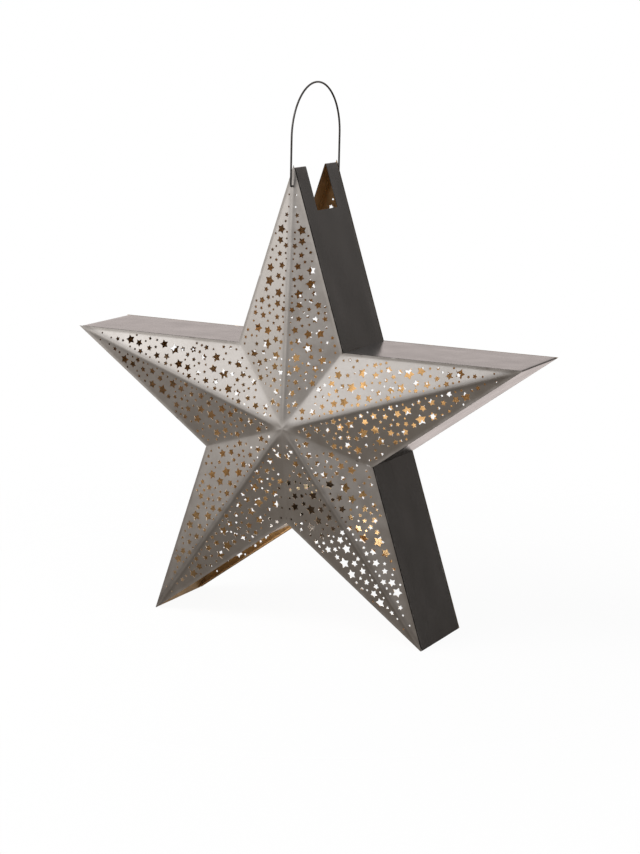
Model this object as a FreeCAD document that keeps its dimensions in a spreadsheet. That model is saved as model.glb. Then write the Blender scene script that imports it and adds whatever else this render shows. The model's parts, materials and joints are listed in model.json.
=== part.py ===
import FreeCAD, Part
import math
import os
import Sketcher

# Punched tin lantern: a five-pointed star case on two of its tips, with a wire handle over the top.
# Millimetres, +Z up. The face lies towards -Y. The origin is on the ground, under the star's centre.

ARM_TURN = 72.0          # degrees from one arm to the next
HALF_TURN = 36.0         # degrees from an arm to the inner corner beside it
LOW_CORNER_TURN = 18.0   # degrees from the level line down to the inner corners above the lower arms

DIMENSIONS = (
    ("tip_radius", 263, "star's centre to the sharp tip of an arm"),
    ("inner_radius", 100, "star's centre to an inner corner"),
    ("case_depth", 96, "front margin to back margin"),
    ("dome_height", 14.2, "centre of a face above its margin"),
    ("foot_flat", 1.0, "height taken off the two lower tips, which the lantern stands on"),
    ("panel_sheet", 0.6, "thickness of a face panel"),
    ("panel_margin", 2.5, "flat border round a face panel"),
    ("panel_flange", 8, "edge of a face panel turned back into the case"),
    ("rim_sheet", 0.7, "thickness of the side walls"),
    ("rim_groove", 1.6, "shadow groove between a panel's margin and the edge of the walls"),
    ("lap_clearance", 0.1, "gap between sheets that lap"),
    ("vent_width", 45, "notch in the fold of the top arm, front to back"),
    ("vent_length", 48, "notch in the fold of the top arm, down each wall"),
    ("strip_sheet", 0.8, "thickness of the joining strips in the inner corners"),
    ("strip_width", 62, "joining strip, front to back"),
    ("strip_lap", 14, "joining strip, along each wall"),
    ("wire_diameter", 2.0, "handle wire"),
    ("wire_bend", 1.7, "bend of the handle wire at its ends, to the wire's middle"),
    ("pin_length", 9.0, "turned-in end of the handle wire, from the middle of its leg"),
    ("pivot_drop", 20.5, "tip of the top arm to the handle's holes"),
    ("pivot_clearance", 0.1, "play round the wire in the handle's holes"),
    ("bend_clearance", 2.6, "start of the wire's bend to the ridge outside its hole"),
    ("handle_rise", 80, "top arm's tip to the crown of the handle"),
    ("bridge_width", 40, "top of the candle bridge, side to side"),
    ("bridge_sheet", 1.2, "thickness of the candle bridge"),
    ("bridge_lift", 1.0, "candle bridge above the corner of the panels' flanges"),
    ("bridge_foot", 10, "feet of the candle bridge, along the flanges"),
    ("cup_radius", 32, "outside of the candle cup"),
    ("cup_height", 25, "candle cup"),
    ("cup_sheet", 0.8, "thickness of the candle cup"),
    ("candle_radius", 28, "outside of the tealight's can"),
    ("candle_height", 20, "tealight's can"),
    ("candle_clearance", 0.1, "gap under the tealight"),
    ("can_sheet", 0.3, "thickness of the tealight's can"),
    ("wax_height", 17, "wax in the can"),
    ("wax_clearance", 0.05, "gap round the wax, the wick and its holder"),
    ("wick_radius", 0.8, "wick"),
    ("wick_stand", 8, "wick above the wax"),
    ("holder_radius", 7, "foot of the wick holder"),
    ("holder_sheet", 0.4, "thickness of the wick holder"),
    ("holder_height", 5, "wick holder, with its collar"),
    ("pattern_pitch", 63.5, "repeat of the punched pattern along a ridge"),
    ("web", 0.75, "least metal between a hole and the edge or valley of its facet"),
    ("ridge_web", 1.1, "least metal between a hole and the ridge of its facet"),
    ("least_star", 5.5, "holes narrower than this are round"),
    ("upright_star", 9.5, "star holes wider than this point at the ridge, the others turn"),
    ("star_waist", 0.55, "inner over outer radius of a star hole"),
    ("round_share", 0.8, "diameter of a round hole over the span of the star that it stands for"),
)

STAR_TURN = 24.0         # degrees that each turned star hole differs from the one before
SAME_POINT = 1e-6        # points nearer than this are one

# One repeat of the punched pattern: distance along the ridge, distance from the ridge, width across
# the points. Each facet is a mirror image of its neighbours.
PATTERN = (
    (16.0, 5.0, 6.7), (49.0, 5.8, 5.4), (55.5, 6.8, 3.6), (2.5, 4.5, 2.8), (9.0, 4.5, 2.8),
    (23.5, 5.0, 3.4), (29.0, 4.0, 2.4), (41.0, 3.8, 2.5),
    (0.0, 11.5, 10.6), (11.0, 12.3, 8.6), (24.5, 12.3, 6.7), (36.0, 9.0, 8.1), (47.0, 12.7, 7.6),
    (31.0, 16.3, 4.1), (17.5, 17.2, 2.8), (5.0, 18.5, 2.8),
    (21.3, 21.7, 4.2), (29.5, 23.6, 3.5), (39.2, 23.2, 10.0), (52.6, 23.5, 12.0), (61.5, 27.3, 6.2),
    (5.7, 24.3, 5.8), (14.2, 22.7, 5.1),
    (9.4, 32.0, 8.1), (17.3, 32.6, 4.4), (24.2, 29.7, 7.7), (37.5, 35.3, 10.4), (46.0, 37.0, 3.1),
    (54.0, 36.5, 5.2), (0.4, 39.2, 9.8),
    (22.6, 39.8, 6.4), (16.8, 39.7, 3.8), (10.5, 39.3, 3.6), (31.0, 41.6, 3.3), (1.6, 46.7, 3.0),
    (46.0, 43.3, 3.8), (40.8, 48.4, 4.4), (48.5, 51.0, 4.4), (55.3, 52.0, 3.3),
)

doc = FreeCAD.newDocument("punched_tin_lantern")
sheet = doc.addObject("Spreadsheet::Sheet", "Sizes")
for row, (alias, value, meaning) in enumerate(DIMENSIONS, start=1):
    sheet.set(f"A{row}", meaning)
    sheet.set(f"B{row}", str(value))
    sheet.setAlias(f"B{row}", alias)
doc.recompute()


def size(alias):
    """A driving dimension, read from the sheet."""
    return float(sheet.get(alias))


# ---------------------------------------------------------------- the star, as expressions

# Angle between an arm's middle line and its walls, and between a wall and the inner corner's radius.
HALF_TIP = (f"atan2(Sizes.inner_radius * sin({HALF_TURN} deg); "
            f"Sizes.tip_radius - Sizes.inner_radius * cos({HALF_TURN} deg))")
WALL_TURN = f"({HALF_TIP} + {HALF_TURN} deg)"

FLANGE_OUTSIDE = "Sizes.rim_sheet + Sizes.lap_clearance"
FLANGE_INSIDE = f"{FLANGE_OUTSIDE} + Sizes.panel_sheet"
CENTRE_HEIGHT = f"Sizes.tip_radius * cos({HALF_TURN} deg) - Sizes.foot_flat"
WALL_DEPTH = "Sizes.case_depth - 2 * (Sizes.panel_sheet + Sizes.rim_groove)"


def tip_reach(inset):
    """Radius of a tip of the star's outline, drawn this far inside its outer surface."""
    return f"(Sizes.tip_radius - ({inset}) / sin({HALF_TIP}))"


def corner_reach(inset):
    """Radius of an inner corner of the star's outline, drawn this far inside its outer surface."""
    return f"(Sizes.inner_radius - ({inset}) / sin({WALL_TURN}))"


# ---------------------------------------------------------------- sketches and bodies

def origin_plane(body, role):
    return next(f for f in body.Origin.OriginFeatures if f.Role == role)


def new_body(name, turn=0.0):
    """A body in an arm's own frame, arm upwards, turned about Y and lifted to the star's centre."""
    body = doc.addObject("PartDesign::Body", name)
    body.Label = name
    body.Placement = FreeCAD.Placement(FreeCAD.Vector(), FreeCAD.Rotation(FreeCAD.Vector(0, 1, 0), turn))
    body.setExpression("Placement.Base.z", CENTRE_HEIGHT)
    return body


def new_sketch(body, name, role):
    sketch = body.newObject("Sketcher::SketchObject", f"{body.Name}_{name}")
    sketch.AttachmentSupport = [(origin_plane(body, role), "")]
    sketch.MapMode = "FlatFace"
    return sketch


def drive(sketch, kind, geometry, point, expression):
    """Hold one coordinate of a sketched point to an expression of the sheet."""
    value = float(sketch.evalExpression(expression))
    index = sketch.addConstraint(Sketcher.Constraint(kind, -1, 1, geometry, point, value))
    name = f"{kind}_{geometry}_{point}"
    sketch.renameConstraint(index, name)
    sketch.setExpression(f"Constraints.{name}", expression)


def outline(sketch, corners):
    """A closed outline through corners, each a pair of expressions."""
    spots = [[float(sketch.evalExpression(part)) for part in corner] for corner in corners]
    count = len(spots)
    for i in range(count):
        start = FreeCAD.Vector(*spots[i], 0)
        end = FreeCAD.Vector(*spots[(i + 1) % count], 0)
        sketch.addGeometry(Part.LineSegment(start, end), False)
    for i in range(count):
        sketch.addConstraint(Sketcher.Constraint("Coincident", i, 2, (i + 1) % count, 1))
    for i, (across, up) in enumerate(corners):
        drive(sketch, "DistanceX", i, 1, across)
        drive(sketch, "DistanceY", i, 1, up)


def mirrored(right_side):
    """Corners of a symmetric outline, from those of its right side listed downwards."""
    left_side = [(f"-({across})", up) for across, up in reversed(right_side)]
    return list(right_side) + left_side


def pad_outline(body, corners, depth):
    """A profile seen from the front, carried equally to front and back."""
    sketch = new_sketch(body, "profile", "XZ_Plane")
    outline(sketch, corners)
    pad = body.newObject("PartDesign::Pad", f"{body.Name}_pad")
    pad.Profile = sketch
    pad.SideType = "Symmetric"
    pad.setExpression("Length", depth)
    return pad


def turn_outline(body, corners):
    """A half section turned about the upright axis."""
    sketch = new_sketch(body, "section", "XZ_Plane")
    outline(sketch, corners)
    turned = body.newObject("PartDesign::Revolution", f"{body.Name}_turned")
    turned.Profile = sketch
    turned.ReferenceAxis = (sketch, ["V_Axis"])
    turned.Angle = 360
    return turned


# ---------------------------------------------------------------- side walls

def arm_wall(name, turn):
    """The strip of sheet folded over one arm, from inner corner to tip to inner corner."""
    def corner(inset):
        reach = corner_reach(inset)
        return f"{reach} * sin({HALF_TURN} deg)", f"{reach} * cos({HALF_TURN} deg)"

    def left(point):
        return f"-({point[0]})", point[1]

    outer = corner("0")
    inner = corner("Sizes.rim_sheet")
    body = new_body(name, turn)
    pad_outline(body, [
        left(outer), ("0", tip_reach("0")), outer,
        inner, ("0", tip_reach("Sizes.rim_sheet")), left(inner),
    ], WALL_DEPTH)
    return body


def cut_vent(body):
    """The rectangular notch over the fold at the top, where warm air leaves."""
    sketch = new_sketch(body, "vent", "YZ_Plane")
    half = "Sizes.vent_width / 2"
    low = f"Sizes.tip_radius - Sizes.vent_length * cos({HALF_TIP})"
    high = "Sizes.tip_radius + Sizes.rim_sheet"
    outline(sketch, [(f"-{half}", low), (half, low), (half, high), (f"-{half}", high)])
    pocket = body.newObject("PartDesign::Pocket", f"{body.Name}_vent_cut")
    pocket.Profile = sketch
    pocket.SideType = "Symmetric"
    pocket.setExpression("Length", "2 * Sizes.vent_length")


def leg_wall(name, side):
    """The outer wall of a lower arm, from the inner corner down to its flat foot on the ground."""
    level = f"cos({LOW_CORNER_TURN} deg)"
    down = f"sin({LOW_CORNER_TURN} deg)"
    run = f"Sizes.tip_radius * sin({HALF_TURN} deg) - Sizes.inner_radius * {level}"
    rise = f"Sizes.tip_radius * cos({HALF_TURN} deg) - Sizes.inner_radius * {down}"
    slope = f"atan2({rise}; {run})"
    foot_outside = f"Sizes.tip_radius * sin({HALF_TURN} deg) - Sizes.foot_flat / tan({slope})"
    foot_inside = f"{foot_outside} - Sizes.rim_sheet / sin({slope})"
    ground = f"-({CENTRE_HEIGHT})"
    top = corner_reach("0")
    top_inside = corner_reach("Sizes.rim_sheet")
    body = new_body(name)
    pad_outline(body, [
        (f"{side} * {top} * {level}", f"-{top} * {down}"),
        (f"{side} * ({foot_outside})", ground),
        (f"{side} * ({foot_inside})", ground),
        (f"{side} * {top_inside} * {level}", f"-{top_inside} * {down}"),
    ], WALL_DEPTH)
    return body


def corner_strip(name, turn):
    """The bent strip behind an inner corner that ties the two walls that meet there."""
    seat = corner_reach(FLANGE_OUTSIDE)
    back = corner_reach(f"{FLANGE_OUTSIDE} + Sizes.strip_sheet")
    end = (f"Sizes.strip_lap * sin({WALL_TURN})", f"{seat} + Sizes.strip_lap * cos({WALL_TURN})")
    end_back = (f"{end[0]} + Sizes.strip_sheet * cos({WALL_TURN})",
                f"{end[1]} - Sizes.strip_sheet * sin({WALL_TURN})")
    body = new_body(name, turn)
    pad_outline(body, [
        ("0", seat), end, end_back, ("0", back),
        (f"-({end_back[0]})", end_back[1]), (f"-({end[0]})", end[1]),
    ], "Sizes.strip_width")
    return body


arm_wall("rim_top_arm", 0)
cut_vent(doc.getObject("rim_top_arm"))
arm_wall("rim_right_arm", ARM_TURN)
arm_wall("rim_left_arm", -ARM_TURN)
leg_wall("rim_lower_right_wall", 1)
leg_wall("rim_lower_left_wall", -1)
corner_strip("corner_strip_upper_right", HALF_TURN)
corner_strip("corner_strip_upper_left", -HALF_TURN)
corner_strip("corner_strip_lower_right", HALF_TURN + ARM_TURN)
corner_strip("corner_strip_lower_left", -HALF_TURN - ARM_TURN)


# ---------------------------------------------------------------- candle bridge, cup and tealight

BRIDGE_SEAT = corner_reach(f"{FLANGE_INSIDE} + Sizes.lap_clearance")
BRIDGE_TOP = f"Sizes.bridge_lift + Sizes.bridge_sheet - {BRIDGE_SEAT}"
CUP_FLOOR = f"{BRIDGE_TOP} + Sizes.cup_sheet"
CAN_BASE = f"{CUP_FLOOR} + Sizes.candle_clearance"
HOLDER_BASE = f"{CAN_BASE} + Sizes.can_sheet + Sizes.wax_clearance"


def candle_bridge():
    """The strip across the open crotch that carries the cup: its feet lie on the panels' flanges."""
    half = "Sizes.bridge_width / 2"
    inside = f"({half} - Sizes.bridge_sheet)"
    toe = f"({half} + Sizes.bridge_foot * sin({WALL_TURN}))"
    under = f"Sizes.bridge_lift - {BRIDGE_SEAT}"

    def on_flange(across):
        return f"-{BRIDGE_SEAT} - {across} / tan({WALL_TURN})"

    body = new_body("candle_bridge")
    pad_outline(body, mirrored([
        (half, BRIDGE_TOP),
        (half, f"{on_flange('(' + half + ')')} + Sizes.bridge_sheet / sin({WALL_TURN})"),
        (f"{toe} + Sizes.bridge_sheet * cos({WALL_TURN})",
         f"{on_flange(toe)} + Sizes.bridge_sheet * sin({WALL_TURN})"),
        (toe, on_flange(toe)),
        (inside, on_flange(inside)),
        (inside, under),
    ]), "Sizes.case_depth - 2 * (Sizes.panel_sheet + Sizes.lap_clearance)")


def candle_cup():
    body = new_body("candle_cup")
    rim = f"{BRIDGE_TOP} + Sizes.cup_height"
    inside = "Sizes.cup_radius - Sizes.cup_sheet"
    turn_outline(body, [
        ("0", BRIDGE_TOP), ("Sizes.cup_radius", BRIDGE_TOP), ("Sizes.cup_radius", rim),
        (inside, rim), (inside, CUP_FLOOR), ("0", CUP_FLOOR),
    ])


def tealight_can():
    body = new_body("tealight_can")
    rim = f"{CAN_BASE} + Sizes.candle_height"
    floor = f"{CAN_BASE} + Sizes.can_sheet"
    inside = "Sizes.candle_radius - Sizes.can_sheet"
    turn_outline(body, [
        ("0", CAN_BASE), ("Sizes.candle_radius", CAN_BASE), ("Sizes.candle_radius", rim),
        (inside, rim), (inside, floor), ("0", floor),
    ])


def wick_holder():
    """A tin foot with a collar that grips the wick."""
    body = new_body("wick_holder")
    bore = "Sizes.wick_radius + Sizes.wax_clearance"
    collar = f"{bore} + Sizes.holder_sheet"
    plate = f"{HOLDER_BASE} + Sizes.holder_sheet"
    top = f"{HOLDER_BASE} + Sizes.holder_height"
    turn_outline(body, [
        (bore, HOLDER_BASE), ("Sizes.holder_radius", HOLDER_BASE), ("Sizes.holder_radius", plate),
        (collar, plate), (collar, top), (bore, top),
    ])


def tealight_wax():
    """The wax, moulded round the wick and its holder."""
    body = new_body("tealight_wax")
    gap = "Sizes.wax_clearance"
    bore = f"Sizes.wick_radius + {gap}"
    collar = f"{bore} + Sizes.holder_sheet + {gap}"
    foot = f"Sizes.holder_radius + {gap}"
    side = f"Sizes.candle_radius - Sizes.can_sheet - {gap}"
    top = f"{HOLDER_BASE} + Sizes.wax_height"
    plate = f"{HOLDER_BASE} + Sizes.holder_sheet + {gap}"
    collar_top = f"{HOLDER_BASE} + Sizes.holder_height + {gap}"
    turn_outline(body, [
        (side, HOLDER_BASE), (side, top), (bore, top), (bore, collar_top),
        (collar, collar_top), (collar, plate), (foot, plate), (foot, HOLDER_BASE),
    ])


def wick():
    body = new_body("wick")
    top = f"{HOLDER_BASE} + Sizes.wax_height + Sizes.wick_stand"
    turn_outline(body, [
        ("0", HOLDER_BASE), ("Sizes.wick_radius", HOLDER_BASE), ("Sizes.wick_radius", top), ("0", top),
    ])


candle_bridge()
candle_cup()
tealight_can()
wick_holder()
tealight_wax()
wick()


# ---------------------------------------------------------------- wire handle

RIDGE_START = f"(Sizes.panel_margin / sin({HALF_TIP}))"
PIVOT_DOME = (f"Sizes.dome_height * (Sizes.pivot_drop - {RIDGE_START}) "
              f"/ (Sizes.tip_radius - {RIDGE_START})")
LEG = f"(Sizes.case_depth / 2 + {PIVOT_DOME} + Sizes.bend_clearance + Sizes.wire_bend)"
PIVOT = "Sizes.tip_radius - Sizes.pivot_drop"


def handle_path(sketch):
    """Turned-in end, leg, half circle over the top, leg, turned-in end."""
    pin_end = f"({LEG} - Sizes.pin_length)"
    bend = f"({LEG} - Sizes.wire_bend)"
    above = f"{PIVOT} + Sizes.wire_bend"
    shoulder = f"Sizes.tip_radius + Sizes.handle_rise - {LEG}"
    front = [(f"-{pin_end}", PIVOT), (f"-{bend}", PIVOT), (f"-{LEG}", above), (f"-{LEG}", shoulder)]
    back = [(across[1:], up) for across, up in reversed(front)]
    points = front + back
    spots = [FreeCAD.Vector(*[float(sketch.evalExpression(part)) for part in p], 0) for p in points]
    round_middles = {1: above, 3: shoulder, 5: above}

    def middle_of(i, height):
        """The point half way round the bend from point i to the next."""
        start, end = spots[i], spots[i + 1]
        centre = FreeCAD.Vector(0 if i == 3 else (start.x if i == 1 else end.x),
                                float(sketch.evalExpression(height)), 0)
        outward = (start + end) * 0.5 - centre
        if outward.Length < SAME_POINT:
            outward = FreeCAD.Vector(0, 1, 0)
        return centre + outward.normalize() * (start - centre).Length

    for i in range(len(points) - 1):
        if i in round_middles:
            sketch.addGeometry(Part.Arc(spots[i], middle_of(i, round_middles[i]), spots[i + 1]), False)
        else:
            sketch.addGeometry(Part.LineSegment(spots[i], spots[i + 1]), False)
    ends = []
    for i in range(len(points) - 1):
        forward = (sketch.getPoint(i, 1) - spots[i]).Length < SAME_POINT
        ends.append((1, 2) if forward else (2, 1))
    for i in range(len(points) - 2):
        sketch.addConstraint(Sketcher.Constraint("Coincident", i, ends[i][1], i + 1, ends[i + 1][0]))
    for i, (across, up) in enumerate(points[:-1]):
        drive(sketch, "DistanceX", i, ends[i][0], across)
        drive(sketch, "DistanceY", i, ends[i][0], up)
    last = len(points) - 2
    drive(sketch, "DistanceX", last, ends[last][1], points[-1][0])
    drive(sketch, "DistanceY", last, ends[last][1], points[-1][1])
    for i, height in round_middles.items():
        drive(sketch, "DistanceY", i, 3, height)


def wire_handle():
    """The bail: one wire, whose turned-in ends hang in a hole near the tip of each face panel."""
    body = new_body("wire_handle")
    path = new_sketch(body, "path", "YZ_Plane")
    handle_path(path)
    section = new_sketch(body, "section", "XZ_Plane")
    section.setExpression("AttachmentOffset.Base.z", f"{LEG} - Sizes.pin_length")
    centre = FreeCAD.Vector(0, float(section.evalExpression(PIVOT)), 0)
    section.addGeometry(Part.Circle(centre, FreeCAD.Vector(0, 0, 1), size("wire_diameter") / 2), False)
    section.addConstraint(Sketcher.Constraint("PointOnObject", 0, 3, -2))
    drive(section, "DistanceY", 0, 3, PIVOT)
    index = section.addConstraint(Sketcher.Constraint("Diameter", 0, size("wire_diameter")))
    section.renameConstraint(index, "wire")
    section.setExpression("Constraints.wire", "Sizes.wire_diameter")
    pipe = body.newObject("PartDesign::AdditivePipe", "wire_handle_pipe")
    pipe.Profile = section
    pipe.Spine = (path, [f"Edge{n + 1}" for n in range(len(path.Geometry))])


wire_handle()


# ---------------------------------------------------------------- punched face panels

HALF_TIP_ANGLE = math.atan2(size("inner_radius") * math.sin(math.radians(HALF_TURN)),
                            size("tip_radius") - size("inner_radius") * math.cos(math.radians(HALF_TURN)))
WALL_ANGLE = HALF_TIP_ANGLE + math.radians(HALF_TURN)
GROUND = size("foot_flat") - size("tip_radius") * math.cos(math.radians(HALF_TURN))
MARGIN_PLANE = -size("case_depth") / 2
THROUGH = FreeCAD.Vector(0, size("panel_sheet"), 0)


def reach_of(inset):
    """Radii of the tips and inner corners of the outline drawn inset from the case's outside."""
    return (size("tip_radius") - inset / math.sin(HALF_TIP_ANGLE),
            size("inner_radius") - inset / math.sin(WALL_ANGLE))


def at(radius, turn, depth):
    """A point this far from the star's middle line, turned clockwise from the top."""
    angle = math.radians(turn)
    return FreeCAD.Vector(radius * math.sin(angle), depth, radius * math.cos(angle))


def star_corners(inset, depth):
    """The outline's corners, with the two lower tips cut level with the ground."""
    tip, corner = reach_of(inset)
    ring = [at(corner if n % 2 else tip, n * HALF_TURN, depth) for n in range(10)]
    corners = []
    for n, spot in enumerate(ring):
        if spot.z >= GROUND:
            corners.append(spot)
            continue
        for beside in (ring[n - 1], ring[(n + 1) % 10]):
            share = (GROUND - spot.z) / (beside.z - spot.z)
            corners.append(spot + (beside - spot) * share)
    return corners


def star_wire(inset, depth):
    corners = star_corners(inset, depth)
    return Part.makePolygon(corners + corners[:1])


def ring_face(outer_inset, inner_inset, depth):
    """The flat ring between two outlines."""
    wires = [star_wire(outer_inset, depth), star_wire(inner_inset, depth)]
    return Part.makeFace(wires, "Part::FaceMakerBullseye")


def wall_faces(inset, start, end):
    """The side wall along an outline."""
    return star_wire(inset, start).extrude(FreeCAD.Vector(0, end - start, 0)).Faces


def star_hole(centre, along, across, radius, turn):
    """A five-pointed hole in the plane of along and across."""
    points = []
    for n in range(10):
        reach = radius * (size("star_waist") if n % 2 else 1)
        angle = turn + math.radians(n * HALF_TURN)
        points.append(centre - across * (reach * math.cos(angle)) + along * (reach * math.sin(angle)))
    return Part.makePolygon(points + points[:1])


def round_hole(centre, along, across, radius):
    circle = Part.Circle(centre, along.cross(across), radius)
    return Part.Wire([circle.toShape()])


def facet_holes(corner):
    """Places and spans of the holes on a facet whose inner corner is (along, across) from its tip."""
    apex = size("tip_radius")
    pitch = size("pattern_pitch")
    web = size("web")
    ridge_web = size("ridge_web")
    valley = math.hypot(apex - corner[0], corner[1])
    edge = math.hypot(*corner)
    holes = []
    for repeat in range(int(apex / pitch) + 1):
        for along, across, span in PATTERN:
            spot = along + repeat * pitch
            to_edge = (corner[1] * spot - corner[0] * across) / edge
            to_valley = (corner[1] * (apex - spot) - (apex - corner[0]) * across) / valley
            if min(to_edge, to_valley) - span / 2 >= web and across - span / 2 >= ridge_web:
                holes.append((spot, across, span))
    return holes


def facet_faces(arm, side):
    """Both skins of one sloping facet and the walls of its holes."""
    tip_radius, corner_radius = reach_of(size("panel_margin"))
    tip = at(tip_radius, arm * ARM_TURN, MARGIN_PLANE)
    corner = at(corner_radius, arm * ARM_TURN + side * HALF_TURN, MARGIN_PLANE)
    apex = FreeCAD.Vector(0, MARGIN_PLANE - size("dome_height"), 0)
    along = (apex - tip).normalize()
    to_corner = corner - tip
    across = (to_corner - along * to_corner.dot(along)).normalize()
    start = size("tip_radius") - tip_radius
    local_corner = (to_corner.dot(along) + start, to_corner.dot(across))
    holes = []
    for number, (spot, offset, span) in enumerate(facet_holes(local_corner)):
        centre = tip + along * (spot - start) + across * offset
        if span >= size("least_star"):
            turn = 0.0 if span > size("upright_star") else math.radians(STAR_TURN * number)
            holes.append(star_hole(centre, along, across, span / 2, turn))
        else:
            holes.append(round_hole(centre, along, across, span / 2 * size("round_share")))
    edges = [Part.makeLine(apex, corner), Part.makeLine(corner, tip)]
    walls = []
    if arm == 0:
        pivot = size("pivot_drop") - start
        radius = size("wire_diameter") / 2 + size("pivot_clearance")
        middle = tip + along * pivot
        near, far = middle - along * radius, middle + along * radius
        notch = Part.Arc(near, middle + across * radius, far).toShape()
        edges += [Part.makeLine(tip, near), notch, Part.makeLine(far, apex)]
        walls += notch.extrude(THROUGH).Faces
    else:
        edges.append(Part.makeLine(tip, apex))
    skin = Part.makeFace([Part.Wire(edges)] + holes, "Part::FaceMakerBullseye")
    back = skin.copy()
    back.translate(THROUGH)
    for hole in holes:
        walls += hole.extrude(THROUGH).Faces
    return skin.Faces + back.Faces + walls


def panel_shape():
    """A face panel: flat margin, flange turned back inside the walls, domed star of ten facets."""
    flange_out = size("rim_sheet") + size("lap_clearance")
    flange_in = flange_out + size("panel_sheet")
    margin_back = MARGIN_PLANE + size("panel_sheet")
    flange_end = MARGIN_PLANE + size("panel_flange")
    faces = [
        ring_face(0, size("panel_margin"), MARGIN_PLANE),
        ring_face(0, flange_out, margin_back),
        ring_face(flange_in, size("panel_margin"), margin_back),
        ring_face(flange_out, flange_in, flange_end),
    ]
    faces += wall_faces(0, MARGIN_PLANE, margin_back)
    faces += wall_faces(flange_out, margin_back, flange_end)
    faces += wall_faces(flange_in, margin_back, flange_end)
    for arm in range(5):
        for side in (-1, 1):
            faces += facet_faces(arm, side)
    skin = Part.Compound(faces)
    skin.sewShape()
    solid = Part.Solid(skin.Shells[0])
    if solid.Volume < 0:
        solid.reverse()
    return solid


def face_panel(name, pressing, turn):
    panel = doc.addObject("Part::Feature", name)
    panel.Label = name
    panel.Shape = pressing
    middle = FreeCAD.Vector(0, 0, -GROUND)
    panel.Placement = FreeCAD.Placement(middle, FreeCAD.Rotation(FreeCAD.Vector(0, 0, 1), turn))


PRESSING = panel_shape()
face_panel("front_panel", PRESSING, 0)
face_panel("back_panel", PRESSING, 180)


# ---------------------------------------------------------------- check and write

doc.recompute()
pieces = [o for o in doc.Objects if o.TypeId in ("PartDesign::Body", "Part::Feature")]
for item in doc.Objects:
    if "Invalid" in item.State or "Error" in item.State:
        raise RuntimeError(f"{item.Label} failed: {item.State}")
for piece in pieces:
    if piece.Shape.isNull() or not piece.Shape.isValid() or piece.Shape.Volume <= 0:
        raise RuntimeError(f"{piece.Label} has no valid solid")

os.makedirs("parts", exist_ok=True)
for piece in pieces:
    piece.Shape.exportStep(f"parts/{piece.Label}.step")
    print(f"{piece.Label}: {len(piece.Shape.Solids)} solid, {piece.Shape.Volume:.1f} mm3")
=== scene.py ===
import json
import math

import bmesh
import bpy
import numpy as np
from mathutils import Matrix, Vector
from mathutils.geometry import delaunay_2d_cdt

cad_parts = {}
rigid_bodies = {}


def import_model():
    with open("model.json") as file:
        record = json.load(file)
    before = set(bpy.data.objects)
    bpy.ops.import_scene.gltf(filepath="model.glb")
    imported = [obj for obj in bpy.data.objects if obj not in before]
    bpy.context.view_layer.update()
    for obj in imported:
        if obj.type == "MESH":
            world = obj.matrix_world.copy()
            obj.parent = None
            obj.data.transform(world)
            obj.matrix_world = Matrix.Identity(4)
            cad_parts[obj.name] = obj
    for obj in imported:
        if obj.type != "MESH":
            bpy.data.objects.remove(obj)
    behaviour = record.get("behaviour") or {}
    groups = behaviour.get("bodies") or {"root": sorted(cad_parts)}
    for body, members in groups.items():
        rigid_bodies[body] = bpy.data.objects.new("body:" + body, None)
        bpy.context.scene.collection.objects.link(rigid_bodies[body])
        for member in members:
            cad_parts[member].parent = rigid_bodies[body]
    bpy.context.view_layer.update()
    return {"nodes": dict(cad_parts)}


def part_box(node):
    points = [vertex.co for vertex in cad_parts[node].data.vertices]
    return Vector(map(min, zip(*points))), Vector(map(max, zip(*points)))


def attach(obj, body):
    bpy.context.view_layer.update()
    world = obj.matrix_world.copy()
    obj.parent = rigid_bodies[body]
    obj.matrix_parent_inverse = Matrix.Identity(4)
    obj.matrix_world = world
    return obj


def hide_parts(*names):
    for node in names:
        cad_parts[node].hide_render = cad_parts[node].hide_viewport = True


# Punched tin lantern: the looks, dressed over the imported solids.
# Shapes are worked out in millimetres and written in metres.

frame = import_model()
MM = 0.001

# The star, as in the solids.
TIP = 263.0
CORNER = 100.0
TURN = math.radians(72)
HALF_TURN = math.radians(36)
HALF_TIP = math.atan2(CORNER * math.sin(HALF_TURN), TIP - CORNER * math.cos(HALF_TURN))
WALL_TURN = HALF_TIP + HALF_TURN
EDGE = CORNER * math.sin(WALL_TURN)          # centre to the line of every wall
CENTRE_Z = TIP * math.cos(HALF_TURN) - 1.0   # the two lower tips are cut 1 mm level
HALF_DEPTH = 48.0
DOME = 14.2
MARGIN = 2.5
SHEET = 0.6
FLANGE = 8.0
FLANGE_INSET = 0.8
OPEN_SIDES = (4, 5)                          # the outline's lines between the two lower arms
PIVOT_DROP = 20.5
PIVOT_HOLE = 1.1
WIRE_RADIUS = 1.0
WIRE_BEND = 1.7
BEND_CLEARANCE = 2.6                         # from the ridge to the start of the wire's bend
PIN_LENGTH = 9.0
HANDLE_RISE = 80.0
PIN_ROWS = (1.0, 0.55)                       # where a pin's first rings are, over its length
PIN_END = 0.86                               # a pin's end over the wire's width
WIRE_SIDES = 16
BEND_RINGS, LEG_RINGS, ARCH_RINGS = 7, 8, 25
RIM_SHEET = 0.7
RIM_HALF = 45.8
VENT_HALF = 22.5
VENT_LENGTH = 48.0

PITCH = 63.5
WEB = 0.75
RIDGE_WEB = 1.1
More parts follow.
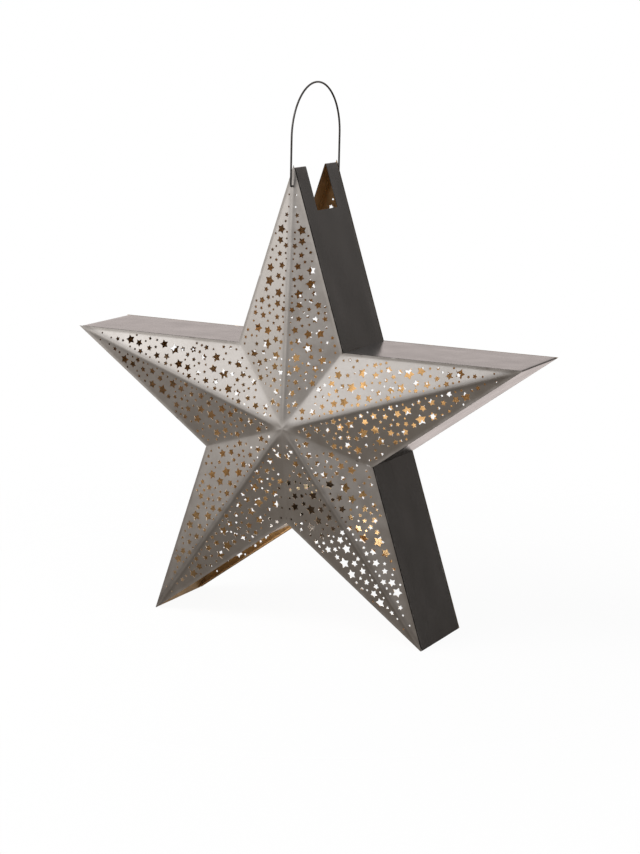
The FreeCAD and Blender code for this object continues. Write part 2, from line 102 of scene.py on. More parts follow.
# One repeat of the punched pattern: along the ridge, away from the ridge, width across the points.
PATTERN = (
    (16.0, 5.0, 6.7), (49.0, 5.8, 5.4), (55.5, 6.8, 3.6), (2.5, 4.5, 2.8), (9.0, 4.5, 2.8),
    (23.5, 5.0, 3.4), (29.0, 4.0, 2.4), (41.0, 3.8, 2.5),
    (0.0, 11.5, 10.6), (11.0, 12.3, 8.6), (24.5, 12.3, 6.7), (36.0, 9.0, 8.1), (47.0, 12.7, 7.6),
    (31.0, 16.3, 4.1), (17.5, 17.2, 2.8), (5.0, 18.5, 2.8),
    (21.3, 21.7, 4.2), (29.5, 23.6, 3.5), (39.2, 23.2, 10.0), (52.6, 23.5, 12.0), (61.5, 27.3, 6.2),
    (5.7, 24.3, 5.8), (14.2, 22.7, 5.1),
    (9.4, 32.0, 8.1), (17.3, 32.6, 4.4), (24.2, 29.7, 7.7), (37.5, 35.3, 10.4), (46.0, 37.0, 3.1),
    (54.0, 36.5, 5.2), (0.4, 39.2, 9.8),
    (22.6, 39.8, 6.4), (16.8, 39.7, 3.8), (10.5, 39.3, 3.6), (31.0, 41.6, 3.3), (1.6, 46.7, 3.0),
    (46.0, 43.3, 3.8), (40.8, 48.4, 4.4), (48.5, 51.0, 4.4), (55.3, 52.0, 3.3),
)
SMALLEST_STAR = 3.1                          # narrower holes are round
UPRIGHT_STAR = 9.5                           # wider stars point at the ridge
STAR_TURN = math.radians(24)                 # from one turned star to the next
WAIST = 0.55                                 # inner over outer radius of a star
ROUND_SHARE = 0.84                           # round hole over the span of its star

# The pressing's soft forms, and the spacing of its mesh.
CREASE_SOFT = 1.3
CROWN_SOFT = 5.0
CROWN_REACH = 10.0
MARGIN_SOFT = 0.08
SKIN_WAVE = 0.16
WAVE_RISE = 3.0                              # height at which the wave is full
# Painted highlight in the zinc's colour along the ridges and valleys and over the crown.
RIDGE_HIGHLIGHT, VALLEY_HIGHLIGHT = 0.15, 0.5
RIDGE_HIGHLIGHT_WIDTH, CROWN_HIGHLIGHT_WIDTH = 0.8, 5.5
# Painted shade beside the ridges: its distance from the ridge, its width, and the crown's reach
# without it.
SHADE_PLACE, SHADE_WIDTH, SHADE_START = 2.2, 1.6, 14.0
FINE_STEP = 2.4
ROW_STEP = 2.6
MARGIN_STEP = 3.2
EDGE_STEP = 4.0
CREASE_ROWS = (0.9, 1.9, 3.4, 5.5)
MARGIN_ROWS = (1.0, 1.7, 2.3, 2.9, 3.6)
CROWN_ROWS = (2.0, 4.0, 6.0, 9.0, 12.0, 16.0)
CROWN_POINTS, PIVOT_POINTS = 8, 9
GRID_START, GRID_WIDTH = 7.5, 62.0
GRID_STEP, GRID_RISE = 4.8, 4.6
POINT_GAP = 0.45                             # least gap of a mesh point to a cut line
WELD = 0.004
LEVEL = 0.1                                  # what counts as lying in the margin's plane
ON_LINE = 0.5

# A wall's mesh lines in from each edge, and its unevenness.
WALL_ROWS = (0.0, 0.5, 2.0, 8.0)
BESIDE_VENT, ACROSS_VENT = 4, 8              # mesh lines beside and across the vent
WALL_WAVE = 0.22
WAVE_SHARE = 1.6                             # waves per width over waves per length
WALL_CALM = 12.0                             # width beside an edge in which the wave grows
WALL_FOLD = 1.1                              # outer radius of a wall's fold
FOLD_STEPS = 8
FOLD_STILL = 6                               # rows beside the fold that have no wave
FOLD_RUB, FOLD_RUB_ROWS = 0.5, 4.0
EDGE_RUB_WIDTH = 0.9
WALL_STEP = 7.0
TIP_STEP = 6.0


# ---------------------------------------------------------------- materials

class Nodes:
    """A material's node tree, written a node at a time."""

    def __init__(self, name):
        self.material = bpy.data.materials.new(name)
        self.material.use_nodes = True
        self.tree = self.material.node_tree
        self.tree.nodes.clear()
        self.place = self.add("ShaderNodeTexCoord").outputs["Object"]

    def add(self, kind, **inputs):
        node = self.tree.nodes.new(kind)
        for key, value in inputs.items():
            self.put(node.inputs[key.replace("_", " ")], value)
        return node

    def put(self, socket, value):
        if isinstance(value, bpy.types.NodeSocket):
            self.tree.links.new(value, socket)
        else:
            socket.default_value = value

    def noise(self, scale, detail=3.0, roughness=0.55, stretch=None):
        where = self.place
        if stretch:
            where = self.add("ShaderNodeMapping", Vector=where, Scale=stretch).outputs[0]
        node = self.add("ShaderNodeTexNoise", Vector=where, Scale=scale, Detail=detail,
                        Roughness=roughness)
        return node.outputs["Fac"]

    def attribute(self, name):
        node = self.add("ShaderNodeAttribute")
        node.attribute_name = name
        return node.outputs["Fac"]

    def span(self, value, low, high, to_low=0.0, to_high=1.0):
        node = self.add("ShaderNodeMapRange")
        node.interpolation_type = "SMOOTHSTEP"
        for key, v in zip(("Value", "From Min", "From Max", "To Min", "To Max"),
                          (value, low, high, to_low, to_high)):
            self.put(node.inputs[key], v)
        return node.outputs["Result"]

    def math(self, operation, a, b):
        node = self.add("ShaderNodeMath")
        node.operation = operation
        self.put(node.inputs[0], a)
        self.put(node.inputs[1], b)
        return node.outputs[0]

    def mix(self, factor, a, b):
        node = self.add("ShaderNodeMix")
        node.data_type = "RGBA"
        self.put(node.inputs[0], factor)
        self.put(node.inputs[6], a)
        self.put(node.inputs[7], b)
        return node.outputs[2]

    def bump(self, height, strength, distance, below=None):
        node = self.add("ShaderNodeBump", Height=height, Strength=strength, Distance=distance)
        if below:
            self.put(node.inputs["Normal"], below)
        return node.outputs["Normal"]

    def surface(self, **inputs):
        shader = self.add("ShaderNodeBsdfPrincipled")
        for key, value in inputs.items():
            self.put(shader.inputs[key.replace("_", " ")], value)
        self.add("ShaderNodeOutputMaterial", Surface=shader.outputs[0])
        return self.material


def rgb(r, g, b):
    return (r, g, b, 1.0)


def zinc_material():
    """Satin zinc-grey sheet: mottled, with a painted highlight on its ridges, valleys and crown,
    painted shade in a line beside each ridge, and a fine rolling grain.
    """
    n = Nodes("zinc_sheet")
    blotch = n.span(n.noise(22.0, 2.0), 0.35, 0.68)
    grain = n.noise(900.0, 2.0, stretch=(1.0, 1.0, 0.12))
    fleck = n.span(n.noise(420.0, 3.0), 0.4, 0.72)
    colour = n.mix(blotch, rgb(0.565, 0.555, 0.545), rgb(0.60, 0.595, 0.59))
    colour = n.mix(n.math("MULTIPLY", fleck, 0.3), colour, rgb(0.50, 0.485, 0.47))
    # Painted shade: darker zinc in a line beside each ridge, fading towards the crown.
    colour = n.mix(n.math("MULTIPLY", n.attribute("painted_ridge_shade"), 0.34), colour, rgb(0.12, 0.12, 0.125))
    # Painted highlight: lighter zinc along the ridges, the valleys and the crown.
    colour = n.mix(n.math("MULTIPLY", n.attribute("wear_and_painted_highlight"), 0.4), colour, rgb(0.72, 0.72, 0.72))
    rough = n.span(n.noise(60.0, 3.0), 0.3, 0.7, 0.30, 0.38)
    height = n.bump(grain, 0.08, 0.0002, n.bump(n.noise(70.0, 1.0), 0.06, 0.0006))
    return n.surface(Base_Color=colour, Metallic=1.0, Roughness=rough, Normal=height)


def gold_material(name, tone, metallic, rough_by, gloss):
    """Copper-gold lacquer inside the sheet, with drifting tone and a soft orange peel."""
    n = Nodes(name)
    drift = n.span(n.noise(14.0, 3.0), 0.35, 0.7)
    colour = n.mix(drift, rgb(*tone), rgb(*[v * 0.72 for v in tone]))
    colour = n.mix(n.math("MULTIPLY", n.span(n.noise(300.0, 2.0), 0.5, 0.8), 0.3), colour,
                   rgb(0.30, 0.17, 0.07))
    rough = n.span(n.noise(80.0, 2.0), 0.3, 0.7, 0.34 * rough_by, 0.48 * rough_by)
    height = n.bump(n.noise(650.0, 2.0), 0.12, 0.0002)
    return n.surface(Base_Color=colour, Metallic=metallic, Roughness=rough,
                     Specular_IOR_Level=gloss, Normal=height)


def charcoal_material():
    """Charcoal satin paint on the walls: a fine powdered texture, greyer where its edges and folds
    are worn.
    """
    n = Nodes("charcoal_paint")
    cloud = n.span(n.noise(16.0, 3.0), 0.3, 0.7)
    colour = n.mix(cloud, rgb(0.031, 0.031, 0.031), rgb(0.036, 0.036, 0.036))
    worn = n.math("MULTIPLY", n.attribute("wear_and_painted_highlight"), n.span(n.noise(140.0, 4.0), 0.42, 0.66))
    colour = n.mix(worn, colour, rgb(0.17, 0.16, 0.15))
    rough = n.span(n.noise(45.0, 3.0), 0.3, 0.7, 0.19, 0.23)
    height = n.bump(n.noise(1100.0, 2.0), 0.08, 0.0002)
    return n.surface(Base_Color=colour, Roughness=rough, Specular_IOR_Level=0.42,
                     Specular_Tint=rgb(1.0, 0.93, 0.88), Normal=height)


def bronze_material():
    """Dark bronze paint on the bridge and the cup, scuffed by the candles set in it."""
    n = Nodes("dark_bronze_paint")
    cloud = n.span(n.noise(30.0, 3.0), 0.3, 0.7)
    colour = n.mix(cloud, rgb(0.045, 0.036, 0.028), rgb(0.066, 0.052, 0.040))
    scuff = n.span(n.noise(220.0, 5.0, 0.7, stretch=(1.0, 1.0, 0.2)), 0.60, 0.74)
    colour = n.mix(n.math("MULTIPLY", scuff, 0.5), colour, rgb(0.20, 0.16, 0.12))
    rough = n.span(n.noise(60.0, 3.0), 0.3, 0.7, 0.36, 0.52)
    return n.surface(Base_Color=colour, Roughness=rough, Metallic=0.2,
                     Normal=n.bump(n.noise(900.0, 2.0), 0.15, 0.0002))


def wire_material():
    """Dark drawn steel wire with drawing lines along it."""
    n = Nodes("drawn_steel_wire")
    lines = n.noise(700.0, 2.0, stretch=(1.0, 1.0, 0.06))
    colour = n.mix(n.span(lines, 0.35, 0.7), rgb(0.060, 0.058, 0.056), rgb(0.10, 0.097, 0.094))
    return n.surface(Base_Color=colour, Metallic=0.5, Roughness=0.42,
                     Normal=n.bump(lines, 0.2, 0.0002))


def aluminium_material():
    """Bright pressed foil of the tealight's can, dulled in patches."""
    n = Nodes("pressed_aluminium")
    dull = n.span(n.noise(120.0, 3.0), 0.35, 0.7)
    colour = n.mix(dull, rgb(0.82, 0.82, 0.83), rgb(0.70, 0.70, 0.71))
    rough = n.span(n.noise(200.0, 3.0), 0.3, 0.7, 0.22, 0.38)
    return n.surface(Base_Color=colour, Metallic=1.0, Roughness=rough,
                     Normal=n.bump(n.noise(500.0, 2.0), 0.15, 0.0002))


def wax_material():
    n = Nodes("candle_wax")
    cloud = n.span(n.noise(90.0, 4.0), 0.3, 0.7)
    colour = n.mix(cloud, rgb(0.86, 0.82, 0.71), rgb(0.80, 0.75, 0.62))
    return n.surface(Base_Color=colour, Roughness=n.span(cloud, 0.0, 1.0, 0.32, 0.5),
                     Subsurface_Weight=0.35, Subsurface_Radius=(0.006, 0.004, 0.002),
                     Normal=n.bump(n.noise(160.0, 3.0), 0.2, 0.0004))


def wick_material(top):
    """Waxed cotton, charred towards its end."""
    n = Nodes("wick_cotton")
    split = n.add("ShaderNodeSeparateXYZ", Vector=n.place)
    height = n.math("ADD", split.outputs["Z"], n.math("MULTIPLY", n.noise(900.0), 0.0012))
    char = n.span(height, top - 0.0050, top - 0.0030)
    colour = n.mix(char, rgb(0.72, 0.66, 0.52), rgb(0.018, 0.015, 0.013))
    return n.surface(Base_Color=colour, Roughness=0.9,
                     Normal=n.bump(n.noise(1600.0, 3.0), 0.5, 0.0003))


def tin_material():
    n = Nodes("tinned_steel")
    patch = n.span(n.noise(400.0, 3.0), 0.35, 0.7)
    colour = n.mix(patch, rgb(0.60, 0.60, 0.59), rgb(0.48, 0.47, 0.46))
    return n.surface(Base_Color=colour, Metallic=1.0, Roughness=n.span(patch, 0.0, 1.0, 0.25, 0.42),
                     Normal=n.bump(n.noise(900.0, 2.0), 0.1, 0.0002))


ZINC = zinc_material()
GOLD = gold_material("copper_gold_lacquer", (0.52, 0.37, 0.20), 0.75, 1.0, 0.5)
GOLD_EDGE = gold_material("copper_gold_edge", (0.40, 0.25, 0.12), 0.0, 2.0, 0.05)
CHARCOAL = charcoal_material()
BRONZE = bronze_material()
# The material slots of a face panel after its outer skin's, and of a wall after its outside's.
# Slot 2 of a face panel, charcoal, is painted shade for the groove between the face's edge and its
# wall.
INSIDE, GROOVE_SHADE, OPEN_EDGE = 1, 2, 3


# ---------------------------------------------------------------- pieces

def piece(name, mesh, materials, slot, body, *nodes):
    """A finished mesh as a piece of the scene that rides on a body and stands for nodes."""
    for material in materials:
        mesh.materials.append(material)
    item = bpy.data.objects.new(name, mesh)
    bpy.context.scene.collection.objects.link(item)
    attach(item, body)
    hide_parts(*nodes)
    return item


def to_mesh(bm, name, sharp=35.0):
    mesh = bpy.data.meshes.new(name)
    bm.to_mesh(mesh)
    bm.free()
    mesh.shade_smooth()
    mesh.set_sharp_from_angle(angle=math.radians(sharp))
    return mesh


def close_tube(bm, rings):
    """Faces from ring to ring, and one across each end."""
    for a, b in zip(rings, rings[1:]):
        for k in range(len(a)):
            n = (k + 1) % len(a)
            bm.faces.new((a[k], a[n], b[n], b[k]))
    bm.faces.new(rings[0])
    bm.faces.new(rings[-1])


def bell(distance, width):
    return math.exp(-(distance / width) ** 2)


def ripple(x, y, seed):
    """Slow unevenness of hand-finished sheet, from -1 to 1."""
    return (math.sin(x * 0.031 + seed) * math.cos(y * 0.043 + 2.1 * seed)
            + 0.6 * math.sin(x * 0.067 - y * 0.052 + 1.7 * seed)
            + 0.4 * math.cos(x * 0.019 + y * 0.101 + 0.9 * seed)) / 2.0


# ---------------------------------------------------------------- punched face panels

def facet_holes():
    """Outlines of the holes in the top arm's right-hand facet, seen from the front."""
    tip_reach = TIP - MARGIN / math.sin(HALF_TIP)
    corner_reach = CORNER - MARGIN / math.sin(WALL_TURN)
    tip = Vector((0.0, 0.0, tip_reach))
    corner = Vector((corner_reach * math.sin(HALF_TURN), 0.0, corner_reach * math.cos(HALF_TURN)))
    along = (Vector((0.0, -DOME, 0.0)) - tip).normalized()
    to_corner = corner - tip
    across = (to_corner - along * to_corner.dot(along)).normalized()
    start = TIP - tip_reach
    run, rise = to_corner.dot(along) + start, to_corner.dot(across)
    holes = []
    for repeat in range(int(TIP / PITCH) + 1):
        for place, offset, span in PATTERN:
            spot = place + repeat * PITCH
            to_edge = (rise * spot - run * offset) / math.hypot(run, rise)
            to_valley = ((rise * (TIP - spot) - (TIP - run) * offset)
                         / math.hypot(TIP - run, rise))
            if min(to_edge, to_valley) - span / 2 < WEB or offset - span / 2 < RIDGE_WEB:
                continue
            star = span >= SMALLEST_STAR
            turn = 0.0 if span > UPRIGHT_STAR else STAR_TURN * len(holes)
            count = 10 if star else 8
            points = []
            for k in range(count):
                reach = span / 2 * ((WAIST if k % 2 else 1.0) if star else ROUND_SHARE)
                angle = turn + math.tau * k / count
                p = (tip + along * (spot - start) + across * offset
                     - across * (reach * math.cos(angle)) + along * (reach * math.sin(angle)))
                points.append((p.x, p.z))
            holes.append(points)
    return holes


def dome_height(x, u):
    """Height of the face over its margin at x across and u up in an arm's own frame."""
    x = abs(x)
    radius = math.hypot(x, u)
    valley = max(radius * math.sin(HALF_TURN - math.atan2(x, u)), 0.0)
    soft = CREASE_SOFT + CROWN_SOFT * bell(radius, CROWN_REACH)
    inset = EDGE - x * math.cos(HALF_TIP) - u * math.sin(HALF_TIP)
    inset -= (math.hypot(x, soft) - x) * math.cos(HALF_TIP)
    inset += (math.hypot(valley, soft) - valley) * math.cos(WALL_TURN)
    rise = DOME / (EDGE - MARGIN) * (inset - MARGIN)
    return 0.5 * (rise + math.hypot(rise, MARGIN_SOFT))


def in_outline(points, outline):
    """Which of the points lie inside a closed outline."""
    inside = np.zeros(len(points), bool)
    a = np.asarray(outline)
    b = np.roll(a, -1, axis=0)
    for (ax, ay), (bx, by) in zip(a, b):
        if ay == by:
            continue
        crosses = (ay > points[:, 1]) != (by > points[:, 1])
        inside ^= crosses & (points[:, 0] < (bx - ax) * (points[:, 1] - ay) / (by - ay) + ax)
    return inside


def between(a, b, step):
    """Points from a up to, but not at, b."""
    count = max(1, round(math.dist(a, b) / step))
    return [(a[0] + (b[0] - a[0]) * k / count, a[1] + (b[1] - a[1]) * k / count)
            for k in range(count)]


def facet_mesh(pivot):
    """Points and triangles of the top arm's right-hand facet, with or without the handle's hole."""
    tip, centre = (0.0, TIP), (0.0, 0.0)
    corner = (CORNER * math.sin(HALF_TURN), CORNER * math.cos(HALF_TURN))
    ridge = between(centre, tip, FINE_STEP)
    if pivot:
        middle = TIP - PIVOT_DROP
        ridge = between(centre, (0.0, middle - PIVOT_HOLE), FINE_STEP)
        ridge += [(PIVOT_HOLE * math.sin(t), middle - PIVOT_HOLE * math.cos(t))
                  for t in np.linspace(0.0, math.pi, PIVOT_POINTS)[:-1]]
        ridge += between((0.0, middle + PIVOT_HOLE), tip, FINE_STEP)
    outline = ridge + between(tip, corner, EDGE_STEP) + between(corner, centre, FINE_STEP)
    holes = facet_holes()
    # Rows beside the ridge, the valley and the margin keep the creases soft and narrow.
    rows = []
    for offset in CREASE_ROWS:
        rows += between((offset, 0.0), (offset, TIP), ROW_STEP)
        side = (math.cos(HALF_TURN) * offset, -math.sin(HALF_TURN) * offset)
        rows += between((corner[0] - side[0], corner[1] - side[1]), (-side[0], -side[1]), ROW_STEP)
    normal = (math.cos(HALF_TIP), math.sin(HALF_TIP))
    for offset in MARGIN_ROWS:
        rows += between((-normal[0] * offset, TIP - normal[1] * offset),
                        (corner[0] - normal[0] * offset, corner[1] - normal[1] * offset),
                        MARGIN_STEP)
    rows += [(x + GRID_STEP / 2 * (k % 2), u)
             for k, u in enumerate(np.arange(EDGE_STEP, TIP, GRID_RISE))
             for x in np.arange(GRID_START, GRID_WIDTH, GRID_STEP)]
    rows += [(r * math.sin(a), r * math.cos(a)) for r in CROWN_ROWS
             for a in np.linspace(0.0, HALF_TURN, CROWN_POINTS)[1:-1]]
    rows = np.array(rows)
    keep = in_outline(rows, outline)
    lines = [outline] + holes
    for line in lines:
        a = np.array(line)
        b = np.roll(a, -1, axis=0)
        ab = b - a
        share = ((rows[:, None] - a) * ab).sum(2) / (ab * ab).sum(1)
        near = a + np.clip(share, 0, 1)[..., None] * ab
        gap = np.linalg.norm(rows[:, None] - near, axis=2).min(1)
        keep &= gap > POINT_GAP
        if line is not outline:
            keep &= ~in_outline(rows, line)
    points, edges = [], []
    for line in lines:
        first = len(points)
        points += line
        edges += [(first + k, first + (k + 1) % len(line)) for k in range(len(line))]
    points += [tuple(p) for p in rows[keep]]
    flat, _, faces, *_ = delaunay_2d_cdt([Vector(p) for p in points], edges, [], 0, 1e-5)
    flat = np.array([tuple(p) for p in flat])
    faces = np.array([tuple(f) for f in faces])
    middles = flat[faces].mean(1)
    solid = in_outline(middles, outline)
    for hole in holes:
        solid &= ~in_outline(middles, hole)
    return flat, faces[solid]


def on_open_side(p):
    """Whether a point of the outline lies on one of the two lines without a wall."""
    slope = (TIP * math.cos(HALF_TURN) - CORNER) / (TIP * math.sin(HALF_TURN))
    return abs(p.z + CORNER + slope * abs(p.x)) < ON_LINE


def cut_level(bm):
    """Cuts the lower tips level, where the lantern stands."""
    bmesh.ops.bisect_plane(bm, geom=bm.verts[:] + bm.edges[:] + bm.faces[:], dist=1e-5,
                           plane_co=(0, 0, -CENTRE_Z), plane_no=(0, 0, -1), clear_outer=True)
    bmesh.ops.holes_fill(bm, edges=[e for e in bm.edges if e.is_boundary], sides=0)


def add_ring(bm, insets, depths, indices):
    """A closed band round the star through the given insets and depths, gold where it is open."""
    loops = []
    for inset, depth in zip(insets, depths):
        tip = TIP - inset / math.sin(HALF_TIP)
        corner = CORNER - inset / math.sin(WALL_TURN)
        loop = []
        for k in range(10):
            reach = corner if k % 2 else tip
            loop.append((reach * math.sin(k * HALF_TURN), depth, reach * math.cos(k * HALF_TURN)))
        loops.append([bm.verts.new(p) for p in loop])
    for k, loop in enumerate(loops):
        other = loops[(k + 1) % len(loops)]
        for a in range(10):
            face = bm.faces.new((loop[a], loop[(a + 1) % 10], other[(a + 1) % 10], other[a]))
            face.material_index = OPEN_EDGE if a in OPEN_SIDES else indices[k]


def face_panel(name, node, facing, seed):
    """A punched face: zinc outside, gold inside, with charcoal as painted shade on the cut edge and
    flange where a wall stands behind it.
    """
    bm = bmesh.new()
    wear_and_painted_highlight = bm.verts.layers.float.new("wear_and_painted_highlight")
    painted_ridge_shade = bm.verts.layers.float.new("painted_ridge_shade")
    for arm in range(5):
        flat, faces = facet_mesh(pivot=arm == 0)
        heights = [dome_height(x, u) for x, u in flat]
        for side in (1, -1):
            corners = []
            for (x, u), rise in zip(flat, heights):
                c, s = math.cos(arm * TURN), math.sin(arm * TURN)
                px, pu = side * x * c + u * s, u * c - side * x * s
                radius = math.hypot(x, u)
                valley = radius * math.sin(HALF_TURN - math.atan2(x, u))
                wave = SKIN_WAVE * ripple(px, pu, seed) * min(1.0, rise / WAVE_RISE)
                vert = bm.verts.new((px, -HALF_DEPTH - rise + wave, pu))
                # Painted highlight along the ridges, the valleys and the crown; on the walls the
                # same layer marks worn edges and folds.
                vert[wear_and_painted_highlight] = max(RIDGE_HIGHLIGHT * bell(x, RIDGE_HIGHLIGHT_WIDTH), bell(radius, CROWN_HIGHLIGHT_WIDTH),
                                   VALLEY_HIGHLIGHT * bell(valley, RIDGE_HIGHLIGHT_WIDTH))
                # Painted shade in a line beside each ridge, fading near the crown.
                vert[painted_ridge_shade] = (bell(x - SHADE_PLACE, SHADE_WIDTH)
                                 * (1.0 - bell(radius, SHADE_START)))
                corners.append(vert)
            for a, b, c in faces:
                order = (a, b, c) if side > 0 else (a, c, b)
                bm.faces.new([corners[k] for k in order])
    bmesh.ops.remove_doubles(bm, verts=bm.verts, dist=WELD)
    bmesh.ops.recalc_face_normals(bm, faces=bm.faces)
    outward = sum(f.normal.y * f.calc_area() for f in bm.faces)
    if outward > 0:
        bmesh.ops.reverse_faces(bm, faces=bm.faces)
    # The inner skin, and the cut edges of the outline and of every hole.
    skin = list(bm.faces)
    twin = {}
    for vert in list(bm.verts):
        twin[vert] = bm.verts.new(vert.co + Vector((0.0, SHEET, 0.0)))
        twin[vert][wear_and_painted_highlight] = 0.0
        twin[vert][painted_ridge_shade] = 0.0
    rims = [e for e in bm.edges if e.is_boundary]
    for edge in rims:
        loop = edge.link_loops[0]
        a, b = loop.vert, loop.link_loop_next.vert
        cut = bm.faces.new((b, a, twin[a], twin[b]))
        # Cut edges in the margin's plane are charcoal as painted shade in the groove, except on the
        # open sides.
        if max(abs(a.co.y + HALF_DEPTH), abs(b.co.y + HALF_DEPTH)) < LEVEL:
            cut.material_index = OPEN_EDGE if on_open_side((a.co + b.co) / 2) else GROOVE_SHADE
    for face in skin:
        bm.faces.new([twin[v] for v in reversed(face.verts)]).material_index = INSIDE
    near, far = -HALF_DEPTH + SHEET, -HALF_DEPTH + FLANGE
    # The flange's outer side is charcoal as painted shade in the groove.
    add_ring(bm, (FLANGE_INSET, FLANGE_INSET + SHEET, FLANGE_INSET + SHEET, FLANGE_INSET),
             (near, near, far, far), (INSIDE, INSIDE, INSIDE, GROOVE_SHADE))
    cut_level(bm)
    turn = Matrix.Rotation(0.0 if facing < 0 else math.pi, 4, "Z")
    lift = Matrix.Translation((0.0, 0.0, CENTRE_Z))
    bmesh.ops.transform(bm, matrix=Matrix.Scale(MM, 4) @ lift @ turn, verts=bm.verts)
    bmesh.ops.recalc_face_normals(bm, faces=bm.faces)
    return piece(name, to_mesh(bm, name), (ZINC, GOLD, CHARCOAL, GOLD_EDGE), "face_metal",
                 "lantern", node)


face_panel("punched_front", "front_panel", -1, 0.4)
face_panel("punched_back", "back_panel", 1, 2.3)


# ---------------------------------------------------------------- side walls

def folded_profile(tip, left, right, fold):
    """Outer line of a folded strip with a small rounding at the fold, and the arc length there."""
    to_left = (Vector(left) - Vector(tip)).normalized()
    to_right = (Vector(right) - Vector(tip)).normalized()
    half = to_left.angle(to_right) / 2
    back = fold / math.tan(half)
    start, end = Vector(tip) + to_left * back, Vector(tip) + to_right * back
    inward = (to_left + to_right).normalized()
    middle = Vector(tip) + inward * (fold / math.sin(half))
    arc = []
    sweep = math.pi - 2 * half
    for k in range(FOLD_STEPS + 1):
        turned = Matrix.Rotation(sweep / 2 - sweep * k / FOLD_STEPS, 2)
        arc.append(middle + turned @ (-inward * fold))
    if (arc[0] - start).length > (arc[-1] - start).length:
        arc.reverse()
    return start, arc, end


def wall_strip(name, node, line, fold_at=None, vent=False, seed=0.0):
    """A wall of painted sheet: charcoal outside, gold inside, along a line seen from the front."""
    stations = [inset - RIM_HALF for inset in WALL_ROWS[:-1]]
    stations += list(np.linspace(WALL_ROWS[-1] - RIM_HALF, -VENT_HALF, BESIDE_VENT))
    stations += list(np.linspace(-VENT_HALF, VENT_HALF, ACROSS_VENT))[1:]
    stations += list(np.linspace(VENT_HALF, RIM_HALF - WALL_ROWS[-1], BESIDE_VENT))[1:]
    stations += [RIM_HALF - inset for inset in WALL_ROWS[-2::-1]]
    points = [Vector(p) for p in line]
    normals = []
    for k, p in enumerate(points):
        before = points[k - 1] if k else p * 2 - points[1]
        after = points[k + 1] if k + 1 < len(points) else p * 2 - points[k - 1]
        step = ((p - before).normalized() + (after - p).normalized()).normalized()
        normals.append(Vector((-step.y, step.x)))
    centre_side = sum(n.dot(p) for n, p in zip(normals, points))
    if centre_side < 0:
        normals = [-n for n in normals]
    bm = bmesh.new()
    wear_and_painted_highlight = bm.verts.layers.float.new("wear_and_painted_highlight")
    grid = {}
    length = 0.0
    for i, (p, n) in enumerate(zip(points, normals)):
        if i:
            length += (p - points[i - 1]).length
        for j, y in enumerate(stations):
            calm = min(1.0, (RIM_HALF - abs(y)) / WALL_CALM)
            wave = WALL_WAVE * ripple(length, y * WAVE_SHARE, seed) * calm
            if fold_at is not None and abs(i - fold_at) <= FOLD_STILL:
                wave = 0.0
            for layer, inset in enumerate((0.0, RIM_SHEET)):
                at = p - n * (inset - wave)
                vert = bm.verts.new((at.x, y, at.y))
                edge = bell(RIM_HALF - abs(y), EDGE_RUB_WIDTH)
                fold = 0.0 if fold_at is None else FOLD_RUB * bell(i - fold_at, FOLD_RUB_ROWS)
                vert[wear_and_painted_highlight] = 0.0 if layer else max(edge, fold)
                grid[i, j, layer] = vert
    cut_below = TIP - VENT_LENGTH * math.cos(HALF_TIP)

    def present(i, j):
        if not (0 <= i < len(points) - 1 and 0 <= j < len(stations) - 1):
            return False
        if not vent:
            return True
        middle_y = (stations[j] + stations[j + 1]) / 2
        middle_u = (points[i].y + points[i + 1].y) / 2
        return abs(middle_y) > VENT_HALF or middle_u < cut_below

    for i in range(len(points) - 1):
        for j in range(len(stations) - 1):
            if not present(i, j):
                continue
            for layer in (0, 1):
                corners = ((i, j), (i + 1, j), (i + 1, j + 1), (i, j + 1))
                quad = [grid[a, b, layer] for a, b in corners]
                face = bm.faces.new(quad if layer else quad[::-1])
                face.material_index = layer
            for di, dj, a, b in ((-1, 0, (i, j), (i, j + 1)), (1, 0, (i + 1, j), (i + 1, j + 1)),
                                 (0, -1, (i, j), (i + 1, j)), (0, 1, (i, j + 1), (i + 1, j + 1))):
                if not present(i + di, j + dj):
                    bm.faces.new((grid[(*a, 0)], grid[(*b, 0)], grid[(*b, 1)], grid[(*a, 1)]))
    bmesh.ops.delete(bm, geom=[v for v in bm.verts if not v.link_faces], context="VERTS")
    cut_level(bm)
    bmesh.ops.recalc_face_normals(bm, faces=bm.faces)
    lift = Matrix.Translation((0.0, 0.0, CENTRE_Z))
    bmesh.ops.transform(bm, matrix=Matrix.Scale(MM, 4) @ lift, verts=bm.verts)
    return piece(name, to_mesh(bm, name), (CHARCOAL, GOLD), "charcoal_paint", "lantern", node)


def star_point(k):
    """Corner k of the star's outline, clockwise from the top: even ones are tips."""
    reach = CORNER if k % 2 else TIP
    return (reach * math.sin(k * HALF_TURN), reach * math.cos(k * HALF_TURN))


def arm_wall(name, node, arm, vent, seed):
    tip, left, right = star_point(2 * arm), star_point(2 * arm - 1), star_point(2 * arm + 1)
    start, arc, end = folded_profile(tip, left, right, WALL_FOLD)
    cut = 1.0 - VENT_LENGTH / math.dist(tip, left)
    notch = tuple(Vector(left) + (Vector(tip) - Vector(left)) * cut)
    down = between(left, notch, WALL_STEP) + between(notch, tuple(start), TIP_STEP)
    mirror = tuple(Vector(right) + (Vector(tip) - Vector(right)) * cut)
    up = between(tuple(end), mirror, TIP_STEP) + between(mirror, right, WALL_STEP) + [right]
    profile = down + [tuple(p) for p in arc] + up[1:]
    return wall_strip(name, node, profile, len(down) + FOLD_STEPS // 2, vent, seed)


arm_wall("top_arm_wall", "rim_top_arm", 0, True, 0.3)
arm_wall("right_arm_wall", "rim_right_arm", 1, False, 1.9)
arm_wall("left_arm_wall", "rim_left_arm", 4, False, 3.1)
for label, corner_no, tip_no, seed in (("right", 3, 4, 0.8), ("left", 7, 6, 2.6)):
    leg = between(star_point(corner_no), star_point(tip_no), WALL_STEP) + [star_point(tip_no)]
    wall_strip(f"lower_{label}_wall", f"rim_lower_{label}_wall", leg, seed=seed)


# ---------------------------------------------------------------- wire handle

